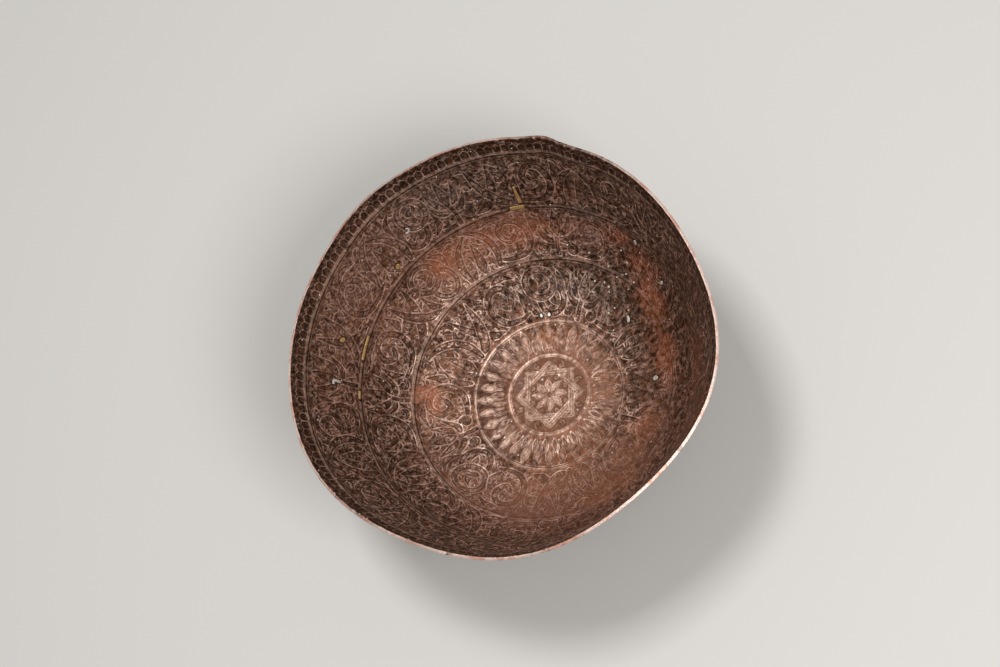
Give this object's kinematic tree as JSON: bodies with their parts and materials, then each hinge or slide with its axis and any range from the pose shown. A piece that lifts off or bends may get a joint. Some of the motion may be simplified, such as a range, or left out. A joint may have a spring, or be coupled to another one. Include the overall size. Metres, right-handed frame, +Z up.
{
  "type": "metal bowl",
  "caption": "Deep flared bowl raised from one sheet of copper alloy, chased inside with rings and petals, with scraps of gold and silver inlay.",
  "frame": {"origin": "centre of the flat underside that the bowl stands on", "axes": "+Z up, along the bowl's axis; +X and +Y level, with the corner knocked into the lip towards +Y"},
  "size_m": [0.1824, 0.1805, 0.0803],
  "materials": {
    "patinated_brass": "hammered sheet, chased inside, with dark brown and reddish patina and a worn bright lip",
    "gold_inlay": "beaten foil, burnished and worn",
    "silver_inlay": "beaten foil, burnished, lightly tarnished"
  },
  "bodies": {
    "root": {"bowl_shell": "patinated_brass", "gold_stem": "gold_inlay", "gold_cross_bar": "gold_inlay", "gold_ring_strip_long": "gold_inlay", "gold_ring_strip_short": "gold_inlay", "gold_bud_left": "gold_inlay", "gold_bud_upper": "gold_inlay", "silver_angle": "silver_inlay", "silver_hook": "silver_inlay", "silver_chip_1": "silver_inlay", "silver_chip_2": "silver_inlay", "silver_chip_3": "silver_inlay", "silver_chip_4": "silver_inlay", "silver_chip_5": "silver_inlay", "silver_chip_6": "silver_inlay"}
  },
  "joints": []
}
